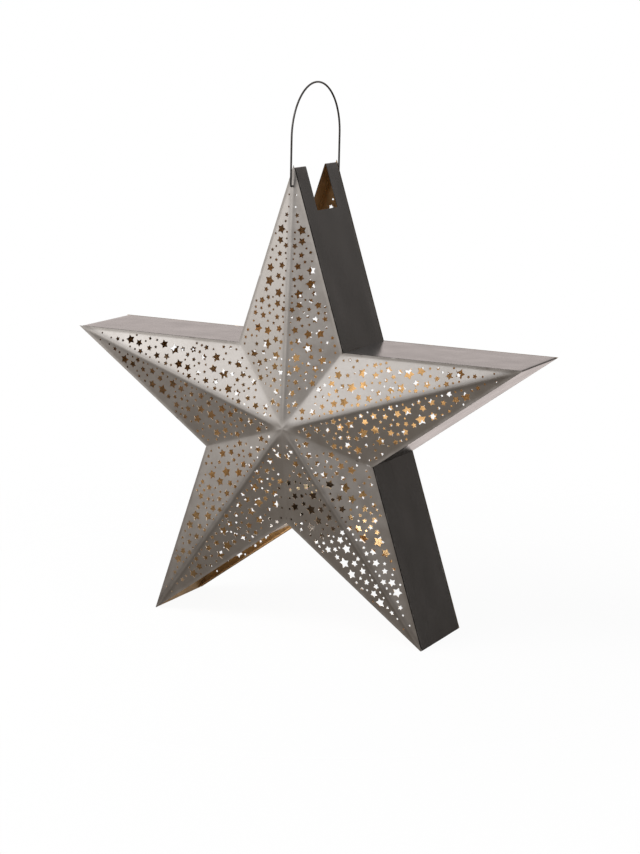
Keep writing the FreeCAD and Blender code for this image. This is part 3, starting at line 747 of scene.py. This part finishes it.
def wire_handle():
    """The bail: a swept wire with soft bends, its ends turned in through the panels."""
    lift = (TIP - PIVOT_DROP + CENTRE_Z) * MM
    rise = DOME * (PIVOT_DROP - MARGIN / math.sin(HALF_TIP)) / (TIP - MARGIN / math.sin(HALF_TIP))
    leg = (HALF_DEPTH + rise + BEND_CLEARANCE + WIRE_BEND) * MM
    crown = (TIP + HANDLE_RISE + CENTRE_Z) * MM
    bend = WIRE_BEND * MM
    shoulder = crown - leg
    path = [Vector((0, -leg + share * PIN_LENGTH * MM, lift)) for share in PIN_ROWS]
    for t in np.linspace(0, math.pi / 2, BEND_RINGS):
        path.append(Vector((0, -leg + bend - bend * math.sin(t),
                            lift + bend - bend * math.cos(t))))
    path += [Vector((0, -leg, z)) for z in np.linspace(lift + bend, shoulder, LEG_RINGS)[1:-1]]
    path += [Vector((0, -leg * math.cos(t), shoulder + leg * math.sin(t)))
             for t in np.linspace(0, math.pi / 2, ARCH_RINGS)]
    path += [Vector((p.x, -p.y, p.z)) for p in reversed(path[:-1])]
    bm = bmesh.new()
    rings = []
    for k, p in enumerate(path):
        before, after = path[max(k - 1, 0)], path[min(k + 1, len(path) - 1)]
        step = (after - before).normalized()
        side = Vector((1, 0, 0))
        up = step.cross(side)
        wide = WIRE_RADIUS * MM * (PIN_END if k in (0, len(path) - 1) else 1.0)
        rings.append([bm.verts.new(p + side * wide * math.cos(a) + up * wide * math.sin(a))
                      for a in np.linspace(0, math.tau, WIRE_SIDES + 1)[:-1]])
    close_tube(bm, rings)
    bmesh.ops.recalc_face_normals(bm, faces=bm.faces)
    return piece("bail_wire", to_mesh(bm, "bail_wire"), (wire_material(),), "wire_steel", "handle",
                 "wire_handle")


wire_handle()


# ---------------------------------------------------------------- candle bridge, cup and tealight

# A point of a lathe's section: from the axis or the rim inwards, how far, and from the foot
# upwards or the top downwards, how far, in millimetres.
AXIS, RIM, FOOT, TOP = "axis", "rim", "foot", "top"

CUP = ((AXIS, 0.0, FOOT, 0.0), (RIM, 3.0, FOOT, 0.0), (RIM, 1.6, FOOT, 0.4),
       (RIM, 0.7, FOOT, 1.3), (RIM, 0.3, FOOT, 3.0), (RIM, 0.3, TOP, 2.2), (RIM, 0.0, TOP, 1.4),
       (RIM, 0.0, TOP, 0.6), (RIM, 0.5, TOP, 0.0), (RIM, 1.2, TOP, 0.1), (RIM, 1.6, TOP, 0.8),
       (RIM, 1.2, TOP, 2.2), (RIM, 1.1, FOOT, 3.2), (RIM, 1.6, FOOT, 1.8), (RIM, 3.0, FOOT, 0.8),
       (AXIS, 0.0, FOOT, 0.8))
CAN = ((AXIS, 0.0, FOOT, 0.0), (RIM, 3.2, FOOT, 0.0), (RIM, 1.2, FOOT, 0.3),
       (RIM, 0.4, FOOT, 1.2), (RIM, 0.15, FOOT, 2.4), (RIM, 0.15, TOP, 2.6), (RIM, 0.4, TOP, 1.8),
       (RIM, 0.0, TOP, 1.1), (RIM, 0.0, TOP, 0.4), (RIM, 0.4, TOP, 0.0), (RIM, 0.8, TOP, 0.3),
       (RIM, 0.7, TOP, 1.8), (RIM, 0.5, FOOT, 2.4), (RIM, 1.4, FOOT, 0.7), (RIM, 3.4, FOOT, 0.3),
       (AXIS, 0.0, FOOT, 0.3))
FLUTED_ROWS = (4, 5)                         # the can's points whose ring is fluted
FLUTE_DEPTH = 0.32
# The wax stands clear of the wick's bore and of its holder, under a melted hollow.
WAX = ((AXIS, 0.86, TOP, 0.9), (AXIS, 3.5, TOP, 1.0), (AXIS, 9.0, TOP, 0.9),
       (AXIS, 14.5, TOP, 0.6), (AXIS, 17.5, TOP, 0.1), (AXIS, 20.0, TOP, 0.1),
       (AXIS, 24.5, TOP, 0.4), (RIM, 1.4, TOP, 0.2), (RIM, 0.6, TOP, 0.0), (RIM, 0.6, FOOT, 2.5),
       (RIM, 3.0, FOOT, 0.5), (AXIS, 7.4, FOOT, 0.5), (AXIS, 7.4, FOOT, 0.6),
       (AXIS, 0.86, FOOT, 5.2), (AXIS, 0.86, TOP, 0.9))
WICK_RADIUS, WICK_END = 0.66, 0.4
WICK_RINGS, WICK_SIDES = 26, 12
STRAND_SWELL, STRAND_TWIST = 0.12, 42.0


def lathe(name, outline, material, slot, body, node, steps=96, flutes=0.0, fluted_rows=()):
    """A section turned about the upright axis, in the box of its node."""
    low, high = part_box(node)
    bm = bmesh.new()
    rows = []
    for i, (side, reach, end, gap) in enumerate(outline):
        radius = reach * MM if side == AXIS else high.x - reach * MM
        height = low.z + gap * MM if end == FOOT else high.z - gap * MM
        if radius == 0.0:
            rows.append([bm.verts.new((0, 0, height))])
            continue
        row = []
        for k in range(steps):
            a = math.tau * k / steps
            r = radius - (flutes * MM * (k % 2) if i in fluted_rows else 0.0)
            row.append(bm.verts.new((r * math.sin(a), r * math.cos(a), height)))
        rows.append(row)
    for a, b in zip(rows, rows[1:]):
        for k in range(steps):
            n = (k + 1) % steps
            corners = [a[k % len(a)], a[n % len(a)], b[n % len(b)], b[k % len(b)]]
            unique = list(dict.fromkeys(corners))
            if len(unique) > 2:
                bm.faces.new(unique)
    bmesh.ops.recalc_face_normals(bm, faces=bm.faces)
    return piece(name, to_mesh(bm, name, sharp=40.0), (material,), slot, body, node)


def braided_wick():
    """A thin twisted wick that narrows at its very end."""
    low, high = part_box("wick")
    bm = bmesh.new()
    rings = []
    for share in np.linspace(0.0, 1.0, WICK_RINGS):
        wide = (WICK_END if share == 1.0 else WICK_RADIUS) * MM
        ring = []
        for k in range(WICK_SIDES):
            a = math.tau * k / WICK_SIDES
            strand = wide * (1.0 + STRAND_SWELL * math.cos(3 * a + share * STRAND_TWIST))
            ring.append(bm.verts.new((strand * math.cos(a), strand * math.sin(a),
                                      low.z + (high.z - low.z) * share)))
        rings.append(ring)
    close_tube(bm, rings)
    bmesh.ops.recalc_face_normals(bm, faces=bm.faces)
    return piece("braided_wick", to_mesh(bm, "braided_wick", sharp=60.0),
                 (wick_material(high.z),), "cotton", "tealight", "wick")


lathe("cup_with_rolled_lip", CUP, BRONZE, "dark_steel", "lantern", "candle_cup")
lathe("fluted_can", CAN, aluminium_material(), "thin_aluminium", "tealight", "tealight_can",
      steps=160, flutes=FLUTE_DEPTH, fluted_rows=FLUTED_ROWS)
lathe("wax_with_melt_ring", WAX, wax_material(), "wax", "tealight", "tealight_wax")
braided_wick()


BRIDGE_HALF = 0.020
BRIDGE_SHEET = 0.0012
INNER_BEND, OUTER_BEND = 0.0010, 0.0022
BEND_STEPS = 6
BRIDGE_ROW = 0.0004                          # a first row of faces beside each edge


def bend(before, at, after, radius):
    """Points of a round bend at the corner between two points."""
    a, b = (before - at).normalized(), (after - at).normalized()
    angle = a.angle(b)
    back = radius / math.tan(angle / 2)
    middle = at + (a + b).normalized() * (radius / math.sin(angle / 2))
    start, stop = at + a * back - middle, at + b * back - middle
    turn = start.angle_signed(stop)
    return [middle + Matrix.Rotation(-turn * k / BEND_STEPS, 2) @ start
            for k in range(BEND_STEPS + 1)]


def candle_bridge():
    """The bridge strip with rounded bends at its shoulders and feet."""
    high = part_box("candle_bridge")[1]
    co = np.array([v.co for v in frame["nodes"]["candle_bridge"].data.vertices])
    toe = high.x - BRIDGE_SHEET * math.cos(WALL_TURN)
    past_shoulder = co[:, 0] > BRIDGE_HALF + BRIDGE_SHEET / 2
    end = Vector((toe, co[past_shoulder][:, 2].min()))
    foot = Vector((math.sin(WALL_TURN), -math.cos(WALL_TURN)))
    knee = end - foot * ((toe - BRIDGE_HALF) / math.sin(WALL_TURN))
    top = Vector((0, high.z))
    shoulder = Vector((BRIDGE_HALF, high.z))
    outer_knee = knee + Vector((0, BRIDGE_SHEET / math.sin(WALL_TURN)))
    outer_end = end + Vector((math.cos(WALL_TURN), math.sin(WALL_TURN))) * BRIDGE_SHEET
    outer = [top] + bend(top, shoulder, outer_knee, OUTER_BEND)
    outer += bend(shoulder, outer_knee, outer_end, INNER_BEND) + [outer_end]
    under = top - Vector((0, BRIDGE_SHEET))
    inner_shoulder = shoulder - Vector((BRIDGE_SHEET, BRIDGE_SHEET))
    inner_knee = Vector((inner_shoulder.x, knee.y + BRIDGE_SHEET / math.tan(WALL_TURN)))
    inner = [under] + bend(under, inner_shoulder, inner_knee, INNER_BEND)
    inner += bend(inner_shoulder, inner_knee, end, OUTER_BEND) + [end]
    half_loop = outer + inner[::-1]
    loop = half_loop + [Vector((-p.x, p.y)) for p in half_loop[::-1]][1:-1]
    bm = bmesh.new()
    levels = (-high.y, BRIDGE_ROW - high.y, 0.0, high.y - BRIDGE_ROW, high.y)
    close_tube(bm, [[bm.verts.new((p.x, y, p.y)) for p in loop] for y in levels])
    bmesh.ops.triangulate(bm, faces=[f for f in bm.faces if len(f.verts) > 4])
    bmesh.ops.recalc_face_normals(bm, faces=bm.faces)
    return piece("bent_bridge", to_mesh(bm, "bent_bridge"), (BRONZE,), "dark_steel", "lantern",
                 "candle_bridge")


candle_bridge()


# ---------------------------------------------------------------- solids that stay

def dress(node, material):
    mesh = frame["nodes"][node].data
    mesh.materials.clear()
    mesh.materials.append(material)


for strip in ("upper_right", "upper_left", "lower_right", "lower_left"):
    dress(f"corner_strip_{strip}", GOLD)
dress("wick_holder", tin_material())


# ---------------------------------------------------------------- floor, light and camera

FLOOR_RADIUS = 1.1
FLOOR_FADE = (0.30, 0.85)
FLOOR_PAINT = rgb(0.92, 0.92, 0.92)
FLOOR_GLOW = 0.94                            # share of plain white that the camera sees
FLOOR_DROP = 0.0002


def floor():
    """A pale disc under the lantern that fades into the white background."""
    bm = bmesh.new()
    bmesh.ops.create_circle(bm, cap_ends=True, segments=128, radius=FLOOR_RADIUS)
    mesh = bpy.data.meshes.new("floor")
    bm.to_mesh(mesh)
    bm.free()
    n = Nodes("pale_floor")
    split = n.add("ShaderNodeSeparateXYZ", Vector=n.place)
    square = n.math("ADD", n.math("MULTIPLY", split.outputs["X"], split.outputs["X"]),
                    n.math("MULTIPLY", split.outputs["Y"], split.outputs["Y"]))
    fade = n.span(n.math("SQRT", square, 0.0), *FLOOR_FADE)
    paint = n.add("ShaderNodeBsdfDiffuse", Color=FLOOR_PAINT, Roughness=0.6)
    clear = n.add("ShaderNodeBsdfTransparent")
    blend = n.add("ShaderNodeMixShader")
    rays = n.add("ShaderNodeLightPath")
    white = n.add("ShaderNodeEmission", Color=rgb(1.0, 1.0, 1.0), Strength=1.0)
    seen = n.add("ShaderNodeMixShader")
    n.put(seen.inputs[0], n.math("MULTIPLY", rays.outputs["Is Camera Ray"], FLOOR_GLOW))
    n.put(seen.inputs[1], paint.outputs[0])
    n.put(seen.inputs[2], white.outputs[0])
    mirrored = n.math("MAXIMUM", rays.outputs["Is Glossy Ray"], rays.outputs["Is Transmission Ray"])
    n.put(blend.inputs[0], n.math("MAXIMUM", fade, mirrored))
    n.put(blend.inputs[1], seen.outputs[0])
    n.put(blend.inputs[2], clear.outputs[0])
    n.add("ShaderNodeOutputMaterial", Surface=blend.outputs[0])
    mesh.materials.append(n.material)
    item = bpy.data.objects.new("floor", mesh)
    bpy.context.scene.collection.objects.link(item)
    item.location.z = -FLOOR_DROP


# What the metal mirrors: a white band above the horizon and to the sides, white behind the
# lantern on the left, and a dim warm room elsewhere.
BAND_FOOT, BAND_TOP = (-0.02, 0.25), (0.60, 0.85)
BAND_BACK, BAND_BACK_SHARE = (0.2, 0.6), 0.4
BACKDROP_WAY, BACKDROP_EDGE = (-0.42, 0.90, 0.0), (0.62, 0.86)
DIM_ROOM = rgb(0.187, 0.158, 0.132)
WHITE_BAND = rgb(1.0, 0.95, 0.915)
BACKDROP = rgb(1.14, 1.01, 0.97)
# What lights rough surfaces, from below to above.
AMBIENT_SPAN = (-0.5, 0.7)
AMBIENT_LOW, AMBIENT_HIGH = rgb(0.07, 0.065, 0.06), rgb(0.55, 0.55, 0.55)


def world():
    """White to the camera, a room with bright walls to the metal, and soft light to the rest."""
    scene_world = bpy.data.worlds.new("studio")
    bpy.context.scene.world = scene_world
    scene_world.use_nodes = True
    tree = scene_world.node_tree
    tree.nodes.clear()

    def add(kind, *values, operation=None):
        node = tree.nodes.new(kind)
        if operation:
            node.operation = operation
        for k, value in enumerate(values):
            if isinstance(value, bpy.types.NodeSocket):
                tree.links.new(value, node.inputs[k])
            else:
                node.inputs[k].default_value = value
        return node

    def band(value, limits, to_low=0.0, to_high=1.0):
        node = add("ShaderNodeMapRange", value, *limits, to_low, to_high)
        node.interpolation_type = "SMOOTHSTEP"
        return node.outputs[0]

    def calculate(operation, a, b):
        return add("ShaderNodeMath", a, b, operation=operation).outputs[0]

    def mix(factor, a, b):
        node = add("ShaderNodeMix", factor)
        node.data_type = "RGBA"
        for socket, value in ((node.inputs[6], a), (node.inputs[7], b)):
            if isinstance(value, bpy.types.NodeSocket):
                tree.links.new(value, socket)
            else:
                socket.default_value = value
        return node.outputs[2]

    rays = add("ShaderNodeLightPath").outputs
    way = add("ShaderNodeTexCoord").outputs["Generated"]
    split = add("ShaderNodeSeparateXYZ", way).outputs
    raised = calculate("MULTIPLY", band(split["Z"], BAND_FOOT),
                       band(split["Z"], BAND_TOP, 1.0, 0.0))
    raised = calculate("MULTIPLY", raised, band(split["Y"], BAND_BACK, 1.0, BAND_BACK_SHARE))
    towards = add("ShaderNodeVectorMath", way, BACKDROP_WAY, operation="DOT_PRODUCT")
    behind = band(towards.outputs["Value"], BACKDROP_EDGE)
    mirrored = mix(behind, mix(raised, DIM_ROOM, WHITE_BAND), BACKDROP)
    ambient = mix(band(split["Z"], AMBIENT_SPAN), AMBIENT_LOW, AMBIENT_HIGH)
    clear = calculate("MAXIMUM", rays["Is Glossy Ray"], rays["Is Transmission Ray"])
    colour = mix(rays["Is Camera Ray"], mix(clear, ambient, mirrored), rgb(1.0, 1.0, 1.0))
    back = add("ShaderNodeBackground", colour)
    add("ShaderNodeOutputWorld", back.outputs[0])


# The inner lamps stand for the candle's light and light the lantern alone.
LANTERN_PIECES = bpy.data.collections.new("lantern_pieces")
for shown in bpy.data.objects:
    if shown.type == "MESH":
        LANTERN_PIECES.objects.link(shown)


def lamp(name, kind, place, power, colour):
    """A lamp that the camera doesn't see, as its object."""
    data = bpy.data.lights.new(name, kind)
    data.energy = power
    data.color = colour
    item = bpy.data.objects.new(name, data)
    bpy.context.scene.collection.objects.link(item)
    item.location = place
    item.visible_camera = False
    return item


def softbox(name, place, target, width, height, power, colour):
    item = lamp(name, "AREA", place, power, colour)
    item.data.shape = "RECTANGLE"
    item.data.size, item.data.size_y = width, height
    item.rotation_euler = (Vector(target) - Vector(place)).to_track_quat("-Z", "Y").to_euler()


def inner_lamp(name, place, radius, power, colour):
    item = lamp(name, "POINT", place, power, colour)
    item.data.shadow_soft_size = radius
    item.light_linking.receiver_collection = LANTERN_PIECES


SUN_WHITE = (1.0, 0.985, 0.97)
WARM_WHITE = (1.0, 0.95, 0.90)
PALE_GLOW = (1.0, 0.95, 0.88)
AMBER_GLOW = (1.0, 0.88, 0.70)
STAR_MIDDLE = (0.0, 0.0, 0.36)

floor()
world()
softbox("key_softbox", (-0.75, -0.85, 1.45), (0.0, 0.0, 0.25), 1.2, 0.9, 20.0, SUN_WHITE)
softbox("left_strip", (-0.62, -0.45, 0.42), STAR_MIDDLE, 0.45, 0.44, 0.40, WARM_WHITE)
softbox("front_strip", (-0.30, -0.62, 0.42), STAR_MIDDLE, 0.45, 0.44, 0.18, WARM_WHITE)
softbox("low_strip", (-0.45, -0.55, 0.12), (0.0, 0.0, 0.10), 0.60, 0.20, 0.10, WARM_WHITE)
inner_lamp("candle_glow", (0.0, 0.0, 0.215), 0.025, 0.085, (1.0, 0.84, 0.64))
inner_lamp("right_glow", (0.06, 0.0, 0.222), 0.032, 0.075, (1.0, 0.87, 0.70))
inner_lamp("left_glow", (-0.07, 0.0, 0.235), 0.025, 0.03, AMBER_GLOW)
inner_lamp("lower_glow", (0.015, 0.0, 0.085), 0.025, 0.32, PALE_GLOW)
inner_lamp("left_leg_glow", (-0.06, 0.0, 0.10), 0.02, 0.035, AMBER_GLOW)
inner_lamp("right_leg_glow", (0.09, 0.0, 0.05), 0.02, 0.08, PALE_GLOW)

CAMERA_AZIMUTH = math.radians(26.649)
CAMERA_ELEVATION = math.radians(11.308)
CAMERA_ROLL = math.radians(1.275)
CAMERA_PLACE = (1.00518, -1.97986, 0.64762)
SENSOR_HEIGHT = 36.0
FOCAL_PIXELS = 2200.0
IMAGE_HEIGHT = 854.0


def camera():
    """The photograph's viewpoint, solved from the star's corners."""
    level = math.cos(CAMERA_ELEVATION)
    back = Vector((math.sin(CAMERA_AZIMUTH) * level, -math.cos(CAMERA_AZIMUTH) * level,
                   math.sin(CAMERA_ELEVATION)))
    right = (-back).cross(Vector((0, 0, 1))).normalized()
    up = right.cross(-back)
    rolled = right * math.cos(CAMERA_ROLL) + up * math.sin(CAMERA_ROLL)
    upright = up * math.cos(CAMERA_ROLL) - right * math.sin(CAMERA_ROLL)
    data = bpy.data.cameras.new("camera")
    data.sensor_fit = "VERTICAL"
    data.sensor_height = SENSOR_HEIGHT
    data.lens = SENSOR_HEIGHT * FOCAL_PIXELS / IMAGE_HEIGHT
    data.clip_start = 0.01
    item = bpy.data.objects.new("camera", data)
    bpy.context.scene.collection.objects.link(item)
    turn = Matrix((rolled, upright, back)).transposed().to_4x4()
    item.matrix_world = Matrix.Translation(CAMERA_PLACE) @ turn
    bpy.context.scene.camera = item


camera()
bpy.context.scene.view_settings.view_transform = "Standard"
